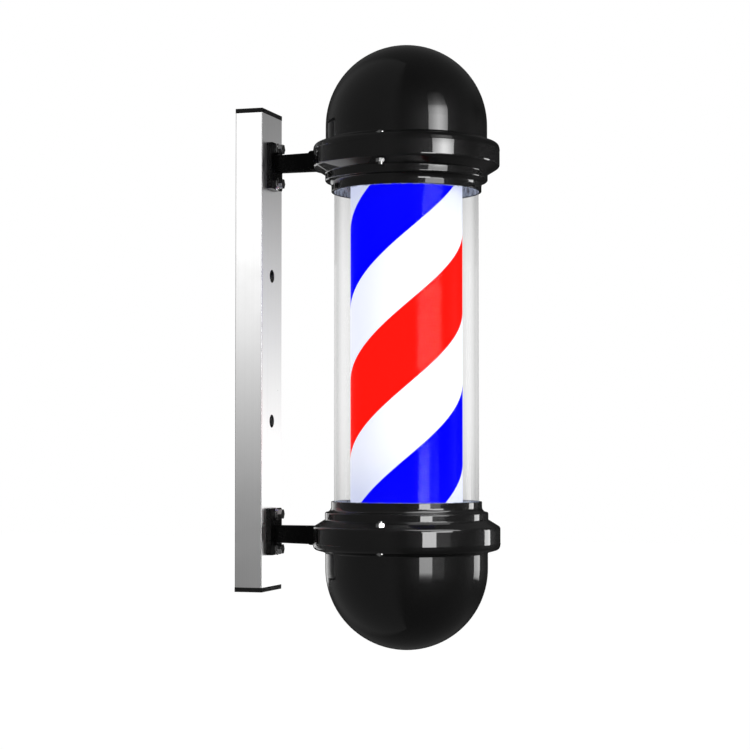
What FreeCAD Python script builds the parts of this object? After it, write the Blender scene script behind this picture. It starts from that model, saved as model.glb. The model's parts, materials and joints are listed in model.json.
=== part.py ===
import FreeCAD, Part

import math
import os
import re

import Sketcher

# Wall-mounted barber pole light: a square-section rail is screwed to the wall and carries, on two
# cast arms, a lit striped drum that turns inside a clear tube between two black domed caps.
# Millimetres. +Z is up, the wall is the plane Y = 0, and the pole stands in front of it at -Y.
# The origin lies on the rail's wall face, midway between the two wall screws. The pole axis is
# vertical, and the caps are mirror images about Z = 0.

SIZES = [
    # Rail
    ("rail_width", 50),
    ("rail_depth", 25),
    ("rail_wall", 1.5),
    ("rail_corner", 0.8),
    ("rail_up", 210),
    ("rail_down", 213),
    ("rail_lip", 4),
    ("rail_plug", 12),
    ("plug_gap", 0.2),
    ("plug_wall", 2),
    ("wall_screw_pitch", 128),
    ("wall_screw_hole", 5.5),
    ("driver_hole", 11.5),
    ("inlet_hole", 10),
    ("inlet_bore", 7),
    ("grommet_rim", 2),
    # Arms
    ("pole_offset", 149),
    ("arm_level", 163),
    ("arm_width", 11),
    ("arm_height", 15),
    ("arm_flare", 1.2),
    ("foot_level", 161),
    ("foot_width", 28),
    ("foot_height", 41),
    ("foot_thick", 4.5),
    ("foot_corner", 2.5),
    ("foot_screw_pitch", 30.6),
    ("foot_screw", 5),
    ("foot_screw_head", 3.8),
    ("foot_screw_length", 15.4),
    ("washer_radius", 5.4),
    ("washer_thick", 1.1),
    ("spring_radius", 4.5),
    ("spring_thick", 1.3),
    ("spring_gap", 0.9),
    ("rivet_nut_radius", 3.5),
    ("rivet_nut_length", 10),
    ("rivet_nut_bulge", 1.2),
    ("saddle_width", 30),
    ("saddle_thick", 5.5),
    ("saddle_low", 155.5),
    ("saddle_top", 171.7),
    ("saddle_round", 2.5),
    ("bar_round", 1.5),
    ("saddle_screw_pitch", 19),
    ("saddle_screw_length", 15),
    ("small_screw", 4),
    ("light_screw", 3),
    ("screw_gap", 0.2),
    ("cable_bore", 6.4),
    ("cable", 5),
    # Caps
    ("collar_low", 133.6),
    ("collar_radius", 65),
    ("rim_round", 0.5),
    ("flare_height", 4.6),
    ("bead_low", 142.7),
    ("bead_radius", 70.4),
    ("bead_inset", 0.9),
    ("bead_edge", 1.4),
    ("shoulder_round", 1.2),
    ("shoulder_drop", 1.45),
    ("shoulder_inset", 1.45),
    ("collar_seat", 149),
    ("seat_radius", 56),
    ("ring_low", 156),
    ("ring_top", 169.3),
    ("ring_radius", 80.75),
    ("ring_bore", 68),
    ("band_round", 1.1),
    ("band_inset", 0.2),
    ("lip_radius", 80.95),
    ("lip_break", 0.3),
    ("lip_height", 2.3),
    ("lip_draft", 0.35),
    ("lip_centre", 1.9),
    ("lip_shoulder", 6),
    ("lip_inset", 3.55),
    ("skirt_low", 7.8),
    ("skirt_flare", 0.9),
    ("dome_radius", 70),
    ("dome_wall", 2),
    ("dome_centre", 191),
    ("clamp_radius", 75),
    ("clamp_spot", 8.8),
    ("clamp_head_seat", 173.7),
    ("clamp_nut_seat", 153),
    ("clamp_tip", 148.2),
    # Clear tube
    ("tube_radius", 62.5),
    ("tube_wall", 3),
    ("tube_reach", 147.5),
    ("tube_gap", 0.4),
    # End plates
    ("plate_radius", 67.5),
    ("plate_thick", 3),
    ("plate_screw_radius", 61.5),
    # Gear motor
    ("motor_radius", 24.5),
    ("gearbox_height", 10),
    ("stator_height", 9),
    ("motor_boss", 5),
    ("motor_boss_height", 3.4),
    ("motor_ear", 30),
    ("ear_width", 8),
    ("ear_thick", 1.2),
    ("pivot_radius", 4),
    ("pivot_height", 1.5),
    ("shaft_radius", 3.5),
    ("shaft_low", 142),
    ("running_gap", 0.05),
    # Drum
    ("film_radius", 48.4),
    ("film_thick", 0.35),
    ("drum_wall", 2),
    ("drum_reach", 149.5),
    ("disc_thick", 3),
    ("disc_skirt", 10),
    ("disc_inset", 0.5),
    ("vent_ring", 30),
    ("vent_radius", 4),
    ("pin_radius", 1.25),
    ("pin_length", 4.5),
    ("pin_level", 3.5),
    ("hub_radius", 9),
    ("hub_flange", 15),
    ("hub_top", 154.5),
    ("set_screw_drop", 2.6),
    # Lower bearing and lamp
    ("journal", 15),
    ("journal_top", 140),
    ("bush_wall", 3),
    ("bush_flange", 21),
    ("bush_low", 151.4),
    ("thrust_thick", 1),
    ("lamp_foot", 26),
    ("lamp_foot_thick", 2.8),
    ("foot_bore", 4),
    ("socket_floor", 3),
    ("sink_depth", 1.8),
    ("post_side", 16),
    ("post_wall", 1.5),
    ("post_up", 130),
    ("post_cap_thick", 2),
    ("strip_cable", 3),
    ("strip_width", 12),
    ("strip_thick", 1),
    ("strip_up", 125),
    ("strip_down", 129),
    ("chip_side", 5),
    ("chip_thick", 1.5),
    ("chip_pitch", 25),
    # Lamp driver and terminal block
    ("driver_length", 52),
    ("driver_width", 34),
    ("driver_height", 22),
    ("driver_ear", 8),
    ("driver_ear_width", 12),
    ("driver_ear_thick", 2),
    ("terminal_width", 30),
    ("terminal_depth", 14),
    ("terminal_height", 30),
    ("terminal_level", -110),
    ("terminal_hole", 2.2),
    ("terminal_screw", 1.7),
]

UPPER = 1
LOWER = -1
SIDES = (("upper", UPPER), ("lower", LOWER))
STRIP_FACES = 4
CHIPS_ALONG = 10
PLATE_SCREWS = 3
VENTS = 6
LEAST_CUT = 0.3

doc = FreeCAD.newDocument("barber_pole_light")
sizes = doc.addObject("Spreadsheet::Sheet", "sizes")
for row, (alias, value) in enumerate(SIZES, start=1):
    sizes.set(f"A{row}", alias)
    sizes.set(f"B{row}", str(value))
    sizes.setAlias(f"B{row}", alias)
doc.recompute()

ALIASES = {alias for alias, value in SIZES}
nodes = []


# ---------------------------------------------------------------- expressions and placement
def bound(expression):
    """The expression with each alias written as another object reads it from the sheet."""
    return re.sub(
        r"[a-z_]+", lambda word: ("sizes." if word[0] in ALIASES else "") + word[0], str(expression)
    )


def number(expression):
    """What an expression over the aliases comes to."""
    return float(sizes.evalExpression(str(expression)))


def bind(item, **expressions):
    for name, expression in expressions.items():
        item.setExpression(name, bound(expression))


def place(item, x=0, y=0, z=0, facing=(0, 0, 1)):
    """Puts the item's own origin at a point, with its +Z facing a direction."""
    turn = FreeCAD.Rotation(FreeCAD.Vector(0, 0, 1), FreeCAD.Vector(*facing))
    item.Placement = FreeCAD.Placement(FreeCAD.Vector(), turn)
    for axis, expression in zip("xyz", (x, y, z)):
        item.setExpression(f".Placement.Base.{axis}", bound(expression))
    return item


def node(item, label):
    """Names a finished sub-part: its label is its file's name."""
    item.Label = label
    nodes.append(item)
    return item


# ---------------------------------------------------------------- part primitives
def cylinder(radius, height, **where):
    item = doc.addObject("Part::Cylinder", "cylinder")
    bind(item, Radius=radius, Height=height)
    return place(item, **where)


def prism(corner_radius, height, **where):
    item = doc.addObject("Part::Prism", "prism")
    item.Polygon = 6
    bind(item, Circumradius=corner_radius, Height=height)
    return place(item, **where)


def block(across, deep, tall, x=0, y=0, z=0):
    """A box centred on a point."""
    item = doc.addObject("Part::Box", "block")
    bind(item, Length=across, Width=deep, Height=tall)
    return place(item, f"({x}) - ({across}) / 2", f"({y}) - ({deep}) / 2", f"({z}) - ({tall}) / 2")


def cone(low_radius, top_radius, height, **where):
    item = doc.addObject("Part::Cone", "cone")
    bind(item, Radius1=low_radius, Radius2=top_radius, Height=height)
    return place(item, **where)


def fuse(*items):
    item = doc.addObject("Part::MultiFuse", "fuse")
    item.Shapes = list(items)
    return item


def group(*items):
    item = doc.addObject("Part::Compound", "group")
    item.Links = list(items)
    return item


def cut(base, *tools):
    item = doc.addObject("Part::Cut", "cut")
    item.Base = base
    item.Tool = tools[0] if len(tools) == 1 else fuse(*tools)
    return item


def common(first, second):
    item = doc.addObject("Part::MultiCommon", "common")
    item.Shapes = [first, second]
    return item


def at_pole(y=0):
    """A Y position measured from the pole axis."""
    return f"({y}) - pole_offset"


# ---------------------------------------------------------------- sketches and bodies
def new_body():
    """A body whose own Z axis is the pole axis."""
    return place(doc.addObject("PartDesign::Body", "body"), y=at_pole())


def new_sketch(body, role, level=0):
    sketch = body.newObject("Sketcher::SketchObject", "sketch")
    plane = next(item for item in body.Origin.OriginFeatures if item.Role == role)
    sketch.AttachmentSupport = [(plane, "")]
    sketch.MapMode = "FlatFace"
    sketch.setExpression(".AttachmentOffset.Base.z", bound(level))
    return sketch


def fix_distance(sketch, kind, geometry, position, expression):
    """Holds a point of the sketch at a distance from its origin, bound to the sheet."""
    value = number(expression)
    if abs(value) < 1e-9:
        axis = -2 if kind == "DistanceX" else -1
        sketch.addConstraint(Sketcher.Constraint("PointOnObject", geometry, position, axis))
        return
    index = sketch.addConstraint(Sketcher.Constraint(kind, -1, 1, geometry, position, value))
    sketch.setExpression(f"Constraints[{index}]", bound(expression))


def arc_between(first, last, centre_v):
    """The arc under half a turn whose centre is at height centre_v, and whether it runs backwards."""
    (u0, v0), (u1, v1) = first, last
    centre_u = (u0 + u1) / 2 - (centre_v - (v0 + v1) / 2) * (v1 - v0) / (u1 - u0)
    radius = math.hypot(u0 - centre_u, v0 - centre_v)
    angles = [math.atan2(v - centre_v, u - centre_u) for u, v in (first, last)]
    backwards = (u0 - centre_u) * (v1 - centre_v) < (u1 - centre_u) * (v0 - centre_v)
    if backwards:
        angles.reverse()
    circle = Part.Circle(FreeCAD.Vector(centre_u, centre_v, 0), FreeCAD.Vector(0, 0, 1), radius)
    return Part.ArcOfCircle(circle, *angles), backwards


def draw_outline(sketch, corners):
    """A closed outline. After a corner (u, v) it goes straight on, and after a corner
    (u, v, centre_v) it follows an arc about a centre at height centre_v."""
    points = [(number(corner[0]), number(corner[1])) for corner in corners]
    begin = sketch.GeometryCount
    ends = []
    for index, corner in enumerate(corners):
        first = points[index]
        last = points[(index + 1) % len(points)]
        if len(corner) == 2:
            line = Part.LineSegment(FreeCAD.Vector(*first, 0), FreeCAD.Vector(*last, 0))
            sketch.addGeometry(line)
            ends.append((1, 2))
        else:
            arc, backwards = arc_between(first, last, number(corner[2]))
            sketch.addGeometry(arc)
            ends.append((2, 1) if backwards else (1, 2))
    for index, corner in enumerate(corners):
        following = (index + 1) % len(corners)
        joint = (begin + index, ends[index][1], begin + following, ends[following][0])
        sketch.addConstraint(Sketcher.Constraint("Coincident", *joint))
        fix_distance(sketch, "DistanceX", begin + index, ends[index][0], corner[0])
        fix_distance(sketch, "DistanceY", begin + index, ends[index][0], corner[1])
        if len(corner) == 3:
            fix_distance(sketch, "DistanceY", begin + index, 3, corner[2])


def draw_circle(sketch, u, v, radius):
    centre = FreeCAD.Vector(number(u), number(v), 0)
    circle = Part.Circle(centre, FreeCAD.Vector(0, 0, 1), number(radius))
    geometry = sketch.addGeometry(circle)
    fix_distance(sketch, "DistanceX", geometry, 3, u)
    fix_distance(sketch, "DistanceY", geometry, 3, v)
    index = sketch.addConstraint(Sketcher.Constraint("Radius", geometry, number(radius)))
    sketch.setExpression(f"Constraints[{index}]", bound(radius))


def rectangle(width, height, v=0):
    """A rectangle's corners, centred on (0, v)."""
    ends = ((-1, -1), (1, -1), (1, 1), (-1, 1))
    return [(f"{right} * ({width}) / 2", f"({v}) + {up} * ({height}) / 2") for right, up in ends]


def turn_solid(body, corners):
    """A revolution about the body's Z axis of an outline in (radius, height)."""
    sketch = new_sketch(body, "XZ_Plane")
    draw_outline(sketch, corners)
    feature = body.newObject("PartDesign::Revolution", "revolution")
    feature.Profile = sketch
    feature.ReferenceAxis = (sketch, ["V_Axis"])
    feature.Angle = 360
    return body


def pad_solid(body, role, level, depth, outlines=(), circles=()):
    """A pad to both sides of a level of one of the body's planes."""
    sketch = new_sketch(body, role, level)
    for outline in outlines:
        draw_outline(sketch, outline)
    for circle in circles:
        draw_circle(sketch, *circle)
    feature = body.newObject("PartDesign::Pad", "pad")
    feature.Profile = sketch
    feature.Midplane = True
    bind(feature, Length=depth)
    return body


def pocket(body, role, level, depth, outlines=(), circles=()):
    """A pocket to both sides of a level of one of the body's planes. It has to remove something."""
    doc.recompute()
    before = body.Shape.Volume
    sketch = new_sketch(body, role, level)
    for outline in outlines:
        draw_outline(sketch, outline)
    for circle in circles:
        draw_circle(sketch, *circle)
    feature = body.newObject("PartDesign::Pocket", "pocket")
    feature.Profile = sketch
    feature.Midplane = True
    bind(feature, Length=depth)
    doc.recompute()
    if body.Shape.Volume > before - LEAST_CUT:
        raise RuntimeError(f"a pocket in {role} at {level} removes nothing")
    return body


def rounded(body, size, chosen):
    """A fillet on the edges of the body's shape so far that chosen(edge) picks."""
    doc.recompute()
    tip = body.Tip
    names = [f"Edge{i}" for i, edge in enumerate(tip.Shape.Edges, start=1) if chosen(edge)]
    feature = body.newObject("PartDesign::Fillet", "fillet")
    feature.Base = (tip, names)
    bind(feature, Radius=size)
    return body


def ring_shape(inner, outer, low, top):
    """Corners of a plain ring's section."""
    return [(inner, low), (outer, low), (outer, top), (inner, top)]


def around(radius, count, start=-90):
    """Points evenly spaced on a circle, as (u, v) expressions."""
    angles = [math.radians(start + 360 * i / count) for i in range(count)]
    return [(f"{math.cos(a):.9f} * ({radius})", f"{math.sin(a):.9f} * ({radius})") for a in angles]


def screw(head, shank_radius, shank_length, **where):
    """A fastener whose head sits on its own XY plane and whose shank runs back along -Z."""
    shank = cylinder(shank_radius, shank_length, z=f"-({shank_length})")
    return place(fuse(head, shank), **where)


def pan_head(radius, height):
    """A low cylinder with a bevelled rim."""
    rim = f"({height}) * 0.6"
    top = cone(radius, f"({radius}) * 0.72", f"({height}) * 0.4", z=rim)
    return fuse(cylinder(radius, rim), top)


def small_pan():
    """The head of the screws inside the caps."""
    return pan_head("small_screw * 0.9", "small_screw * 0.55")


def light_pan():
    """The head of the lighter screws in the hub and the terminal block."""
    return pan_head("light_screw * 0.9", "light_screw * 0.6")


# ---------------------------------------------------------------- rail
def make_rail():
    """Aluminium box section with driver holes in front and screw holes in its wall side."""
    body = place(doc.addObject("PartDesign::Body", "body"), y="-rail_depth / 2")
    middle = "(rail_up - rail_down) / 2"
    length = "rail_up + rail_down - 2 * rail_lip"
    hollow = rectangle("rail_width - 2 * rail_wall", "rail_depth - 2 * rail_wall")
    pad_solid(body, "XY_Plane", middle, length, outlines=[rectangle("rail_width", "rail_depth"), hollow])
    outer = number("rail_width / 2 - rail_wall / 2")
    rounded(
        body,
        "rail_corner",
        lambda edge: edge.BoundBox.ZLength > 1 and abs(edge.CenterOfMass.x) > outer,
    )
    levels = ("-wall_screw_pitch / 2", "wall_screw_pitch / 2")
    front = [(0, z, "driver_hole / 2") for z in levels]
    front += [(0, z, "cable_bore / 2") for z in ("-arm_level", "arm_level")]
    front += [(0, z, "rivet_nut_radius") for z in foot_points()]
    pocket(body, "XZ_Plane", "rail_depth / 2", "rail_wall * 3", circles=front)
    back = [(0, z, "wall_screw_hole / 2") for z in levels]
    back.append((0, "terminal_level", "light_screw / 2"))
    pocket(body, "XZ_Plane", "-rail_depth / 2", "rail_wall * 3", circles=back)
    node(body, "wall_rail")


def make_rail_cap(side):
    """Moulded end cap: a lip over the rail's end and a hollow plug inside it."""
    name = "top" if side == UPPER else "bottom"
    reach = "rail_up" if side == UPPER else "rail_down"
    centre = "-rail_depth / 2"
    plug_x = "rail_width - 2 * rail_wall - 2 * plug_gap"
    plug_y = "rail_depth - 2 * rail_wall - 2 * plug_gap"
    lip = block("rail_width", "rail_depth", "rail_lip", y=centre, z=f"{side} * ({reach} - rail_lip / 2)")
    plug_z = f"{side} * ({reach} - rail_lip - rail_plug / 2)"
    plug = block(plug_x, plug_y, "rail_plug", y=centre, z=plug_z)
    hollow_x = f"{plug_x} - 2 * plug_wall"
    hollow_y = f"{plug_y} - 2 * plug_wall"
    hollow = block(hollow_x, hollow_y, "rail_plug", y=centre, z=plug_z)
    tools = [hollow]
    if side == LOWER:
        tools.append(cylinder("inlet_hole / 2", "rail_lip * 3", y=centre, z="-rail_down - rail_lip"))
    node(cut(fuse(lip, plug), *tools), f"rail_cap_{name}")


def make_inlet_grommet():
    """Rubber bush, flush with the lower cap, that the supply cord comes in through."""
    low = "-rail_down"
    y = "-rail_depth / 2"
    sleeve = cylinder("inlet_hole / 2", "rail_lip + grommet_rim", y=y, z=low)
    flange = cylinder("inlet_hole / 2 + grommet_rim", "grommet_rim", y=y, z=f"{low} + rail_lip")
    bore = cylinder("inlet_bore / 2", "rail_lip * 3", y=y, z=f"{low} - rail_lip")
    node(cut(fuse(sleeve, flange), bore), "inlet_grommet")


def foot_points():
    """Heights of the four foot screws."""
    return [
        f"{side} * foot_level + {up} * foot_screw_pitch / 2" for side in (UPPER, LOWER) for up in (1, -1)
    ]


def make_rivet_nuts():
    """Blind rivet nuts, flush in the rail's front, that take the foot screws."""
    nuts = []
    for z in foot_points():
        inward = {"z": z, "facing": (0, 1, 0)}
        sleeve = cylinder("rivet_nut_radius", "rivet_nut_length", y="-rail_depth", **inward)
        bulge_radius = "rivet_nut_radius + rivet_nut_bulge"
        bulge = cylinder(bulge_radius, 2, y="-rail_depth + rail_wall", **inward)
        bore = cylinder("foot_screw / 2", "rivet_nut_length + 2", y="-rail_depth - 1", **inward)
        nuts.append(cut(fuse(sleeve, bulge), bore))
    node(group(*nuts), "rivet_nuts")


# ---------------------------------------------------------------- arms
def round_edges(item, radius, chosen):
    """A fillet on the edges of a primitive or boolean that chosen(edge) picks."""
    doc.recompute()
    size = number(radius)
    fillet = doc.addObject("Part::Fillet", "fillet")
    fillet.Base = item
    fillet.Edges = [(i, size, size) for i, edge in enumerate(item.Shape.Edges, start=1) if chosen(edge)]
    return fillet


def runs_along_y(edge):
    return edge.BoundBox.YLength > max(edge.BoundBox.XLength, edge.BoundBox.ZLength) + 1


def make_saddle(side):
    """The arm's curved pad: it follows the ring and clears the lip of the dome."""
    low = f"{side} * (saddle_low + saddle_top) / 2 - (saddle_top - saddle_low) / 2"
    tall = "saddle_top - saddle_low"
    reach = "ring_radius + saddle_thick"
    pad = block("saddle_width", 40, tall, y=at_pole("ring_radius"), z=f"{low} + ({tall}) / 2")
    hug = cylinder(reach, tall, y=at_pole(), z=low)
    outer = number(reach) - number("pole_offset")
    saddle = round_edges(
        common(pad, hug),
        "saddle_round",
        lambda edge: edge.BoundBox.ZLength < 0.1 and edge.CenterOfMass.y > outer - 1.5,
    )
    ring_space = cylinder("ring_radius", f"{tall} + 2", y=at_pole(), z=f"{low} - 1")
    lip_low = "ring_top - 0.2" if side == UPPER else "-ring_top - 19.8"
    lip_space = cylinder("lip_radius + 0.3", 20, y=at_pole(), z=lip_low)
    return saddle, ring_space, lip_space


def make_bar(side):
    """The arm's bar. Its side away from the tube flares out towards the ring."""
    low = f"{side} * arm_level - arm_height / 2"
    top = f"{side} * arm_level + arm_height / 2"
    bar = doc.addObject("Part::Wedge", "wedge")
    bind(bar, Xmin="-arm_width / 2", Xmax="arm_width / 2", X2min="-arm_width / 2", X2max="arm_width / 2")
    bind(bar, Ymin="-pole_offset + ring_radius + 2", Ymax="-rail_depth", Z2min=low, Z2max=top)
    if side == UPPER:
        bind(bar, Zmin=low, Zmax=f"{top} + arm_flare")
    else:
        bind(bar, Zmin=f"{low} - arm_flare", Zmax=top)
    return round_edges(bar, "bar_round", runs_along_y)


def make_arm(name, side):
    """Cast arm: a foot on the rail, a bar, and a curved saddle that hugs the ring."""
    level = f"{side} * arm_level"
    foot_z = f"{side} * foot_level"
    front = "-rail_depth"
    plate = block("foot_width", "foot_thick", "foot_height", y=f"{front} - foot_thick / 2", z=foot_z)
    foot = round_edges(plate, "foot_corner", lambda edge: edge.BoundBox.YLength > 1)
    bar = make_bar(side)
    saddle, ring_space, lip_space = make_saddle(side)
    wire_way = cylinder("cable_bore / 2", 80, y=at_pole("50"), z=level, facing=(0, 1, 0))
    tools = [ring_space, lip_space, wire_way]
    for up in (1, -1):
        z = f"{foot_z} + {up} * foot_screw_pitch / 2"
        tools.append(cylinder("foot_screw / 2 + 0.3", 20, y=f"{front} - 10", z=z, facing=(0, 1, 0)))
    for across in (1, -1):
        x = f"{across} * saddle_screw_pitch / 2"
        y = at_pole("ring_radius - 5")
        tools.append(cylinder("small_screw / 2", 8.5, x=x, y=y, z=level, facing=(0, 1, 0)))
    node(cut(fuse(foot, bar, saddle), *tools), f"{name}_arm")


def make_foot_fasteners():
    """Hexagon screws, each on a split spring washer and a flat washer, that hold both arms to the
    rail."""
    seat = "-rail_depth - foot_thick"
    spring_seat = f"{seat} - washer_thick"
    head_seat = f"{spring_seat} - spring_thick"
    screws = []
    washers = []
    springs = []
    for z in foot_points():
        outward = {"z": z, "facing": (0, -1, 0)}
        head = prism("foot_screw * 0.92", "foot_screw_head")
        screws.append(screw(head, "foot_screw / 2", "foot_screw_length", y=head_seat, **outward))
        disc = cylinder("washer_radius", "washer_thick", y=seat, **outward)
        bore = cylinder("foot_screw / 2", "washer_thick + 2", y=f"{seat} + 1", **outward)
        washers.append(cut(disc, bore))
        coil = cylinder("spring_radius", "spring_thick", y=spring_seat, **outward)
        hole = cylinder("foot_screw / 2", "spring_thick + 2", y=f"{spring_seat} + 1", **outward)
        where = {"x": "spring_radius / 2", "y": f"({spring_seat} + {head_seat}) / 2", "z": z}
        split = block("spring_radius", "spring_thick + 1", "spring_gap", **where)
        springs.append(cut(coil, hole, split))
    node(group(*screws), "arm_screws")
    node(group(*washers), "arm_washers")
    node(group(*springs), "arm_spring_washers")


def make_saddle_screws():
    """Countersunk screws from inside each ring into the saddle of its arm."""
    screws = []
    for side in (UPPER, LOWER):
        for across in (1, -1):
            x = f"{across} * saddle_screw_pitch / 2"
            head = cone("small_screw / 2", "small_screw", "small_screw / 2", z="-small_screw / 2")
            y = at_pole("ring_bore - 0.2")
            where = {"x": x, "y": y, "z": f"{side} * arm_level", "facing": (0, -1, 0)}
            screws.append(screw(head, "small_screw / 2", "saddle_screw_length", **where))
    node(group(*screws), "saddle_screws")


# ---------------------------------------------------------------- caps
def sided(corners, side):
    """The outline with its heights turned over for the lower cap."""
    return [(corner[0], *(f"{side} * ({height})" for height in corner[1:])) for corner in corners]


def clamp_circles(radius):
    """The two clamp bolts stand left and right of the pole axis."""
    return [(f"{across} * clamp_radius", 0, radius) for across in (1, -1)]


def plate_circles(radius):
    return [(u, v, radius) for u, v in around("plate_screw_radius", PLATE_SCREWS)]


def make_collar(name, side):
    """Turned collar: a rim round the tube, a hollow flare, a bead and a sloping shoulder."""
    corners = [
        ("tube_radius + tube_gap", "collar_low"),
        ("collar_radius - rim_round", "collar_low", "collar_low + rim_round"),
        ("collar_radius", "collar_low + rim_round"),
        ("collar_radius", "bead_low - flare_height", "bead_low - flare_height"),
        ("bead_radius - bead_inset", "bead_low", "bead_low + bead_edge"),
        ("bead_radius", "bead_low + bead_edge"),
        ("bead_radius", "collar_seat - 0.4", "collar_seat - 0.4"),
        ("bead_radius + shoulder_round", "collar_seat - 0.4 + shoulder_round"),
        ("ring_radius - shoulder_inset", "ring_low - shoulder_drop", "ring_low + band_round"),
        ("ring_radius - band_inset - 0.05", "ring_low"),
        ("seat_radius", "ring_low"),
        ("seat_radius", "collar_seat"),
        ("tube_radius + tube_gap", "collar_seat"),
    ]
    body = turn_solid(new_body(), sided(corners, side))
    through = f"{side} * (ring_low - 3)"
    holes = clamp_circles("small_screw / 2 + screw_gap") + plate_circles("small_screw / 2")
    pocket(body, "XY_Plane", through, 16, circles=holes)
    spot = f"{side} * (clamp_nut_seat - 5)"
    pocket(body, "XY_Plane", spot, 10, circles=clamp_circles("clamp_spot / 2"))
    node(body, f"{name}_collar")


def make_ring(name, side):
    """The flat band that the arm carries, with the collar on one face and the dome on the other."""
    outline = [
        ("ring_bore", "ring_low"),
        ("ring_radius - band_inset", "ring_low", "ring_low + band_round"),
        ("ring_radius", "ring_low + band_round"),
        ("ring_radius", "ring_top"),
        ("ring_bore", "ring_top"),
    ]
    body = turn_solid(new_body(), sided(outline, side))
    holes = clamp_circles("small_screw / 2 + screw_gap")
    pocket(body, "XY_Plane", f"{side} * (ring_low + 6)", 40, circles=holes)
    level = f"{side} * arm_level"
    middle = "-(ring_bore + ring_radius) / 2"
    pocket(body, "XZ_Plane", middle, 30, circles=[(0, level, "cable_bore / 2")])
    bores = [(f"{across} * saddle_screw_pitch / 2", level, "small_screw / 2") for across in (1, -1)]
    pocket(body, "XZ_Plane", middle, 30, circles=bores)
    sinks = [(u, v, "small_screw + 0.3") for u, v, radius in bores]
    pocket(body, "XZ_Plane", "-(ring_bore - 5)", 14.4, circles=sinks)
    node(body, f"{name}_ring")


def make_dome(name, side):
    """Cast dome: a round-shouldered foot that slopes up to a short skirt under a hemisphere."""
    inner = "dome_radius - dome_wall"
    corners = [
        ("ring_bore", "ring_top"),
        ("lip_radius - lip_break", "ring_top"),
        ("lip_radius", "ring_top + lip_break"),
        ("lip_radius - lip_draft", "ring_top + lip_height", "ring_top + lip_centre"),
        ("lip_radius - lip_inset", "ring_top + lip_shoulder"),
        ("dome_radius + skirt_flare", "ring_top + skirt_low", "ring_top + skirt_low + 1.5"),
        ("dome_radius", "ring_top + skirt_low + 1"),
        ("dome_radius", "dome_centre", "dome_centre"),
        (0, "dome_centre + dome_radius"),
        (0, f"dome_centre + {inner}", "dome_centre"),
        (inner, "dome_centre"),
    ]
    body = turn_solid(new_body(), sided(corners, side))
    holes = clamp_circles("small_screw / 2 + screw_gap")
    pocket(body, "XY_Plane", f"{side} * (ring_top + 4)", 16, circles=holes)
    spot = f"{side} * (clamp_head_seat + 5)"
    pocket(body, "XY_Plane", spot, 10, circles=clamp_circles("clamp_spot / 2"))
    node(body, f"{name}_dome")


def make_clamp_fasteners():
    """Through bolts and nuts that clamp dome, ring and collar together."""
    bolts = []
    nuts = []
    for side in (UPPER, LOWER):
        for across in (1, -1):
            where = {"x": f"{across} * clamp_radius", "y": at_pole(), "facing": (0, 0, side)}
            length = "clamp_head_seat - clamp_tip"
            seat = f"{side} * clamp_head_seat"
            head = pan_head("small_screw", "small_screw * 0.7")
            bolts.append(screw(head, "small_screw / 2", length, z=seat, **where))
            where["facing"] = (0, 0, -side)
            nut = prism("small_screw * 1.01", "small_screw * 0.75", z=f"{side} * clamp_nut_seat", **where)
            bore = cylinder("small_screw / 2", 12, z=f"{side} * (clamp_nut_seat + 3)", **where)
            nuts.append(cut(nut, bore))
    node(group(*bolts), "clamp_bolts")
    node(group(*nuts), "clamp_nuts")


# ---------------------------------------------------------------- tube and end plates
def make_tube():
    outline = ring_shape("tube_radius - tube_wall", "tube_radius", "-tube_reach", "tube_reach")
    node(turn_solid(new_body(), outline), "clear_tube")


def make_gasket(name, side):
    """Soft ring between the end of the tube and the collar's seat."""
    outline = ring_shape("tube_radius - tube_wall - 1", "tube_radius", "tube_reach", "collar_seat")
    node(turn_solid(new_body(), sided(outline, side)), f"{name}_gasket")


def make_motor_plate():
    """Steel disc inside the upper ring: it carries the gear motor."""
    circles = [(0, 0, "plate_radius"), (0, 0, "motor_boss + 0.5")]
    circles += plate_circles("small_screw / 2")
    circles += [(f"{across} * motor_ear", 0, "small_screw / 2") for across in (1, -1)]
    level = "ring_low + plate_thick / 2"
    node(pad_solid(new_body(), "XY_Plane", level, "plate_thick", circles=circles), "motor_plate")


def make_lamp_plate():
    """Steel disc inside the lower ring: it carries the lamp above and its driver below."""
    circles = [(0, 0, "plate_radius"), (0, 0, "foot_bore")]
    circles += plate_circles("small_screw / 2")
    circles += [(u, v, "small_screw / 2") for u, v in around("lamp_foot - 5", PLATE_SCREWS)]
    circles += [(f"{across} * ({driver_ear_centre()})", 0, "small_screw / 2") for across in (1, -1)]
    level = "-ring_low - plate_thick / 2"
    body = pad_solid(new_body(), "XY_Plane", level, "plate_thick", circles=circles)
    sinks = []
    for u, v in around("lamp_foot - 5", PLATE_SCREWS):
        where = {"x": u, "y": at_pole(v), "z": "-ring_low - plate_thick"}
        sinks.append(cone("small_screw * 0.9", "small_screw / 2", "sink_depth", **where))
    node(cut(body, *sinks), "lamp_plate")


def make_plate_screws():
    """Screws that hold both end plates to the collars."""
    screws = []
    for side in (UPPER, LOWER):
        for u, v in around("plate_screw_radius", PLATE_SCREWS):
            seat = f"{side} * (ring_low + plate_thick)"
            where = {"x": u, "y": at_pole(v), "z": seat, "facing": (0, 0, side)}
            screws.append(screw(small_pan(), "small_screw / 2", 9, **where))
    node(group(*screws), "plate_screws")


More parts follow.
